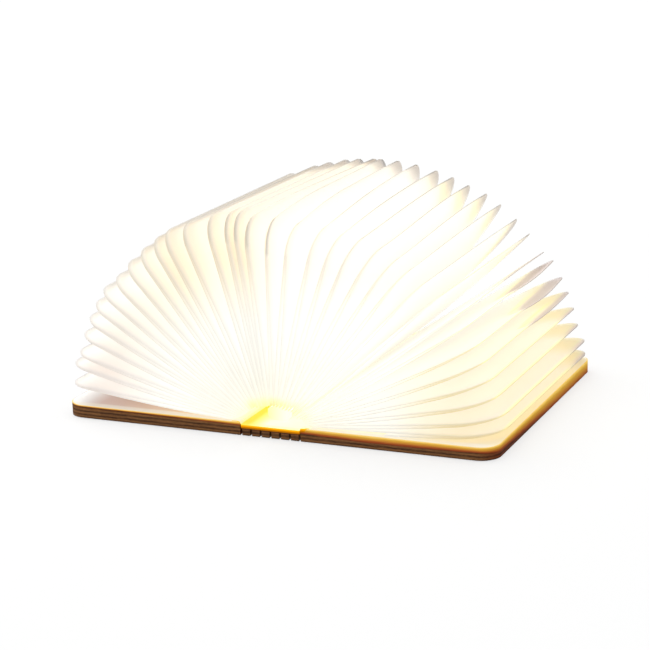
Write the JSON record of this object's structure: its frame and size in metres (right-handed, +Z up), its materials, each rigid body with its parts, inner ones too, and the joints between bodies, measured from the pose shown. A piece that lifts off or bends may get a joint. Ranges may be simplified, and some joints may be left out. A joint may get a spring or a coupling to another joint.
{
  "type": "folding book lamp",
  "caption": "Book-shaped lamp: two hinged wooden covers on a slatted spine with a glowing fan of folded paper leaves round a light bar.",
  "frame": {"origin": "middle of the spine, on the table that the open covers lie on", "axes": "+X across the open book to the right cover's fore edge, +Y along the spine to the end with the charging socket, +Z up through the upright middle page"},
  "size_m": [0.1852, 0.13, 0.0887],
  "materials": {
    "walnut_board": "dark walnut plywood, open grain, matt oil",
    "walnut_liner": "walnut ply liner, matt oil",
    "walnut_slat": "dark walnut plywood cut ends",
    "page_paper": "smooth translucent tear-resistant paper",
    "endpaper": "smooth white paper",
    "magnet": "nickel plated",
    "bar_housing": "white moulded plastic",
    "diffuser": "frosted translucent plastic",
    "front_cap": "frosted translucent plastic",
    "rear_cap": "white moulded plastic",
    "led_board": "white solder mask",
    "led_chip": "yellow phosphor",
    "battery_wrap": "silver film wrap",
    "circuit_board": "green solder mask",
    "socket_steel": "plated steel",
    "switch_glass": "clear glass tube"
  },
  "bodies": {
    "spine_core": {"light_bar_housing": "bar_housing", "light_diffuser": "diffuser", "front_end_cap": "front_cap", "rear_end_cap": "rear_cap", "led_board": "led_board", "led_chips": "led_chip", "battery": "battery_wrap", "charge_board": "circuit_board", "charging_socket": "socket_steel", "magnet_switch": "switch_glass", "page_leaf_18": "page_paper"},
    "slat_1": {"spine_slat_1": "walnut_slat", "page_leaf_05": "page_paper"},
    "slat_2": {"spine_slat_2": "walnut_slat", "page_leaf_10": "page_paper"},
    "slat_3": {"spine_slat_3": "walnut_slat"},
    "slat_4": {"spine_slat_4": "walnut_slat"},
    "slat_5": {"spine_slat_5": "walnut_slat"},
    "slat_6": {"spine_slat_6": "walnut_slat", "page_leaf_30": "page_paper"},
    "left_cover": {"left_cover_board": "walnut_board", "left_cover_liner": "walnut_liner", "left_endpaper": "endpaper", "left_cover_magnets": "magnet"},
    "right_cover": {"right_cover_board": "walnut_board", "right_cover_liner": "walnut_liner", "right_endpaper": "endpaper", "right_cover_magnets": "magnet"},
    "leaf_01": {"page_leaf_01": "page_paper"},
    "leaf_02": {"page_leaf_02": "page_paper"},
    "leaf_03": {"page_leaf_03": "page_paper"},
    "leaf_04": {"page_leaf_04": "page_paper"},
    "leaf_06": {"page_leaf_06": "page_paper"},
    "leaf_07": {"page_leaf_07": "page_paper"},
    "leaf_08": {"page_leaf_08": "page_paper"},
    "leaf_09": {"page_leaf_09": "page_paper"},
    "leaf_11": {"page_leaf_11": "page_paper"},
    "leaf_12": {"page_leaf_12": "page_paper"},
    "leaf_13": {"page_leaf_13": "page_paper"},
    "leaf_14": {"page_leaf_14": "page_paper"},
    "leaf_15": {"page_leaf_15": "page_paper"},
    "leaf_16": {"page_leaf_16": "page_paper"},
    "leaf_17": {"page_leaf_17": "page_paper"},
    "leaf_19": {"page_leaf_19": "page_paper"},
    "leaf_20": {"page_leaf_20": "page_paper"},
    "leaf_21": {"page_leaf_21": "page_paper"},
    "leaf_22": {"page_leaf_22": "page_paper"},
    "leaf_23": {"page_leaf_23": "page_paper"},
    "leaf_24": {"page_leaf_24": "page_paper"},
    "leaf_25": {"page_leaf_25": "page_paper"},
    "leaf_26": {"page_leaf_26": "page_paper"},
    "leaf_27": {"page_leaf_27": "page_paper"},
    "leaf_28": {"page_leaf_28": "page_paper"},
    "leaf_29": {"page_leaf_29": "page_paper"},
    "leaf_31": {"page_leaf_31": "page_paper"},
    "leaf_32": {"page_leaf_32": "page_paper"},
    "leaf_33": {"page_leaf_33": "page_paper"},
    "leaf_34": {"page_leaf_34": "page_paper"},
    "leaf_35": {"page_leaf_35": "page_paper"}
  },
  "joints": [
    {"name": "left_cover_fold", "type": "hinge", "parent": "slat_1", "child": "left_cover", "pos_m": [-0.0126, 0, 0.0018], "axis": [0, 1, 0], "range_deg": [-27.14, 25.71]},
    {"name": "slat_3_fold", "type": "hinge", "parent": "spine_core", "child": "slat_3", "pos_m": [0, 0, 0.0018], "axis": [0, 1, 0], "range_deg": [-13.77, 13.06]},
    {"name": "slat_2_fold", "type": "hinge", "parent": "slat_3", "child": "slat_2", "pos_m": [-0.0042, 0, 0.0018], "axis": [0, 1, 0], "range_deg": [-27.34, 25.91]},
    {"name": "slat_1_fold", "type": "hinge", "parent": "slat_2", "child": "slat_1", "pos_m": [-0.0084, 0, 0.0018], "axis": [0, 1, 0], "range_deg": [-27.34, 25.91]},
    {"name": "leaf_17_turn", "type": "hinge", "parent": "slat_3", "child": "leaf_17", "pos_m": [-0.00038, 0, 0.00202], "axis": [0, 1, 0], "range_deg": [-7.06, 7.44]},
    {"name": "leaf_16_turn", "type": "hinge", "parent": "slat_3", "child": "leaf_16", "pos_m": [-0.00069, 0, 0.00195], "axis": [0, 1, 0], "range_deg": [-4.06, 4.27]},
    {"name": "leaf_15_turn", "type": "hinge", "parent": "slat_3", "child": "leaf_15", "pos_m": [-0.00101, 0, 0.00188], "axis": [0, 1, 0], "range_deg": [-1.56, 1.63]},
    {"name": "leaf_14_turn", "type": "hinge", "parent": "slat_3", "child": "leaf_14", "pos_m": [-0.00132, 0, 0.00181], "axis": [0, 1, 0], "range_deg": [-4.05, 3.84]},
    {"name": "leaf_13_turn", "type": "hinge", "parent": "slat_3", "child": "leaf_13", "pos_m": [-0.00163, 0, 0.00174], "axis": [0, 1, 0], "range_deg": [-11.96, 11.34]},
    {"name": "leaf_12_turn", "type": "hinge", "parent": "slat_2", "child": "leaf_12", "pos_m": [-0.00329, 0, 0.00414], "axis": [0, 1, 0], "range_deg": [-9.27, 9.78]},
    {"name": "leaf_11_turn", "type": "hinge", "parent": "slat_2", "child": "leaf_11", "pos_m": [-0.00355, 0, 0.00394], "axis": [0, 1, 0], "range_deg": [-5.27, 5.55]},
    {"name": "leaf_09_turn", "type": "hinge", "parent": "slat_2", "child": "leaf_09", "pos_m": [-0.00405, 0, 0.00354], "axis": [0, 1, 0], "range_deg": [-5.93, 5.63]},
    {"name": "leaf_08_turn", "type": "hinge", "parent": "slat_2", "child": "leaf_08", "pos_m": [-0.0043, 0, 0.00334], "axis": [0, 1, 0], "range_deg": [-11.74, 11.13]},
    {"name": "leaf_07_turn", "type": "hinge", "parent": "slat_1", "child": "leaf_07", "pos_m": [-0.00966, 0, 0.00667], "axis": [0, 1, 0], "range_deg": [-9.99, 10.53]},
    {"name": "leaf_06_turn", "type": "hinge", "parent": "slat_1", "child": "leaf_06", "pos_m": [-0.0098, 0, 0.00638], "axis": [0, 1, 0], "range_deg": [-4.99, 5.25]},
    {"name": "leaf_04_turn", "type": "hinge", "parent": "slat_1", "child": "leaf_04", "pos_m": [-0.01007, 0, 0.00581], "axis": [0, 1, 0], "range_deg": [-5.7, 5.41]},
    {"name": "leaf_03_turn", "type": "hinge", "parent": "slat_1", "child": "leaf_03", "pos_m": [-0.01021, 0, 0.00552], "axis": [0, 1, 0], "range_deg": [-11.51, 10.91]},
    {"name": "leaf_02_turn", "type": "hinge", "parent": "left_cover", "child": "leaf_02", "pos_m": [-0.01386, 0, 0.00586], "axis": [0, 1, 0], "range_deg": [-11.7, 12.34]},
    {"name": "leaf_01_turn", "type": "hinge", "parent": "left_cover", "child": "leaf_01", "pos_m": [-0.01386, 0, 0.00554], "axis": [0, 1, 0], "range_deg": [-5.7, 6.01]},
    {"name": "right_cover_fold", "type": "hinge", "parent": "slat_6", "child": "right_cover", "pos_m": [0.0126, 0, 0.0018], "axis": [0, -1, 0], "range_deg": [-27.14, 25.71]},
    {"name": "slat_4_fold", "type": "hinge", "parent": "spine_core", "child": "slat_4", "pos_m": [0, 0, 0.0018], "axis": [0, -1, 0], "range_deg": [-13.77, 13.06]},
    {"name": "slat_5_fold", "type": "hinge", "parent": "slat_4", "child": "slat_5", "pos_m": [0.0042, 0, 0.0018], "axis": [0, -1, 0], "range_deg": [-27.34, 25.91]},
    {"name": "slat_6_fold", "type": "hinge", "parent": "slat_5", "child": "slat_6", "pos_m": [0.0084, 0, 0.0018], "axis": [0, -1, 0], "range_deg": [-27.34, 25.91]},
    {"name": "leaf_19_turn", "type": "hinge", "parent": "slat_4", "child": "leaf_19", "pos_m": [0.00038, 0, 0.00202], "axis": [0, -1, 0], "range_deg": [-8.06, 8.49]},
    {"name": "leaf_20_turn", "type": "hinge", "parent": "slat_4", "child": "leaf_20", "pos_m": [0.00069, 0, 0.00195], "axis": [0, -1, 0], "range_deg": [-2.56, 2.69]},
    {"name": "leaf_21_turn", "type": "hinge", "parent": "slat_4", "child": "leaf_21", "pos_m": [0.00101, 0, 0.00188], "axis": [0, -1, 0], "range_deg": [-4.05, 3.84]},
    {"name": "leaf_22_turn", "type": "hinge", "parent": "slat_4", "child": "leaf_22", "pos_m": [0.00132, 0, 0.00181], "axis": [0, -1, 0], "range_deg": [-9.32, 8.84]},
    {"name": "leaf_23_turn", "type": "hinge", "parent": "slat_4", "child": "leaf_23", "pos_m": [0.00163, 0, 0.00174], "axis": [0, -1, 0], "range_deg": [-14.6, 13.84]},
    {"name": "leaf_24_turn", "type": "hinge", "parent": "slat_5", "child": "leaf_24", "pos_m": [0.00329, 0, 0.00414], "axis": [0, -1, 0], "range_deg": [-6.77, 7.14]},
    {"name": "leaf_25_turn", "type": "hinge", "parent": "slat_5", "child": "leaf_25", "pos_m": [0.00355, 0, 0.00394], "axis": [0, -1, 0], "range_deg": [-1.77, 1.86]},
    {"name": "leaf_26_turn", "type": "hinge", "parent": "slat_5", "child": "leaf_26", "pos_m": [0.0038, 0, 0.00374], "axis": [0, -1, 0], "range_deg": [-4.87, 4.63]},
    {"name": "leaf_27_turn", "type": "hinge", "parent": "slat_5", "child": "leaf_27", "pos_m": [0.00405, 0, 0.00354], "axis": [0, -1, 0], "range_deg": [-10.68, 10.13]},
    {"name": "leaf_28_turn", "type": "hinge", "parent": "slat_5", "child": "leaf_28", "pos_m": [0.0043, 0, 0.00334], "axis": [0, -1, 0], "range_deg": [-16.49, 15.63]},
    {"name": "leaf_29_turn", "type": "hinge", "parent": "slat_6", "child": "leaf_29", "pos_m": [0.00966, 0, 0.00667], "axis": [0, -1, 0], "range_deg": [-5.99, 6.31]},
    {"name": "leaf_31_turn", "type": "hinge", "parent": "slat_6", "child": "leaf_31", "pos_m": [0.00994, 0, 0.00609], "axis": [0, -1, 0], "range_deg": [-5.18, 4.91]},
    {"name": "leaf_32_turn", "type": "hinge", "parent": "slat_6", "child": "leaf_32", "pos_m": [0.01007, 0, 0.00581], "axis": [0, -1, 0], "range_deg": [-10.45, 9.91]},
    {"name": "leaf_33_turn", "type": "hinge", "parent": "slat_6", "child": "leaf_33", "pos_m": [0.01021, 0, 0.00552], "axis": [0, -1, 0], "range_deg": [-15.73, 14.91]},
    {"name": "leaf_34_turn", "type": "hinge", "parent": "right_cover", "child": "leaf_34", "pos_m": [0.01386, 0, 0.00586], "axis": [0, -1, 0], "range_deg": [-6.2, 6.53]},
    {"name": "leaf_35_turn", "type": "hinge", "parent": "right_cover", "child": "leaf_35", "pos_m": [0.01386, 0, 0.00554], "axis": [0, -1, 0], "range_deg": [-2.2, 2.31]}
  ],
  "couplings": [
    {"joint": "slat_3_fold", "follows": "left_cover_fold", "ratio": 0.5},
    {"joint": "slat_2_fold", "follows": "left_cover_fold", "ratio": 1},
    {"joint": "slat_1_fold", "follows": "left_cover_fold", "ratio": 1},
    {"joint": "leaf_17_turn", "follows": "left_cover_fold", "ratio": -0.26667},
    {"joint": "leaf_16_turn", "follows": "left_cover_fold", "ratio": -0.15},
    {"joint": "leaf_15_turn", "follows": "left_cover_fold", "ratio": -0.052778},
    {"joint": "leaf_14_turn", "follows": "left_cover_fold", "ratio": 0.14167},
    {"joint": "leaf_13_turn", "follows": "left_cover_fold", "ratio": 0.43333},
    {"joint": "leaf_12_turn", "follows": "left_cover_fold", "ratio": -0.35278},
    {"joint": "leaf_11_turn", "follows": "left_cover_fold", "ratio": -0.19722},
    {"joint": "leaf_09_turn", "follows": "left_cover_fold", "ratio": 0.21111},
    {"joint": "leaf_08_turn", "follows": "left_cover_fold", "ratio": 0.425},
    {"joint": "leaf_07_turn", "follows": "left_cover_fold", "ratio": -0.38056},
    {"joint": "leaf_06_turn", "follows": "left_cover_fold", "ratio": -0.18611},
    {"joint": "leaf_04_turn", "follows": "left_cover_fold", "ratio": 0.20278},
    {"joint": "leaf_03_turn", "follows": "left_cover_fold", "ratio": 0.41667},
    {"joint": "leaf_02_turn", "follows": "left_cover_fold", "ratio": -0.44722},
    {"joint": "leaf_01_turn", "follows": "left_cover_fold", "ratio": -0.21389},
    {"joint": "slat_4_fold", "follows": "right_cover_fold", "ratio": 0.5},
    {"joint": "slat_5_fold", "follows": "right_cover_fold", "ratio": 1},
    {"joint": "slat_6_fold", "follows": "right_cover_fold", "ratio": 1},
    {"joint": "leaf_19_turn", "follows": "right_cover_fold", "ratio": -0.30556},
    {"joint": "leaf_20_turn", "follows": "right_cover_fold", "ratio": -0.091667},
    {"joint": "leaf_21_turn", "follows": "right_cover_fold", "ratio": 0.14167},
    {"joint": "leaf_22_turn", "follows": "right_cover_fold", "ratio": 0.33611},
    {"joint": "leaf_23_turn", "follows": "right_cover_fold", "ratio": 0.53056},
    {"joint": "leaf_24_turn", "follows": "right_cover_fold", "ratio": -0.25556},
    {"joint": "leaf_25_turn", "follows": "right_cover_fold", "ratio": -0.061111},
    {"joint": "leaf_26_turn", "follows": "right_cover_fold", "ratio": 0.17222},
    {"joint": "leaf_27_turn", "follows": "right_cover_fold", "ratio": 0.38611},
    {"joint": "leaf_28_turn", "follows": "right_cover_fold", "ratio": 0.6},
    {"joint": "leaf_29_turn", "follows": "right_cover_fold", "ratio": -0.225},
    {"joint": "leaf_31_turn", "follows": "right_cover_fold", "ratio": 0.18333},
    {"joint": "leaf_32_turn", "follows": "right_cover_fold", "ratio": 0.37778},
    {"joint": "leaf_33_turn", "follows": "right_cover_fold", "ratio": 0.57222},
    {"joint": "leaf_34_turn", "follows": "right_cover_fold", "ratio": -0.23333},
    {"joint": "leaf_35_turn", "follows": "right_cover_fold", "ratio": -0.077778}
  ]
}
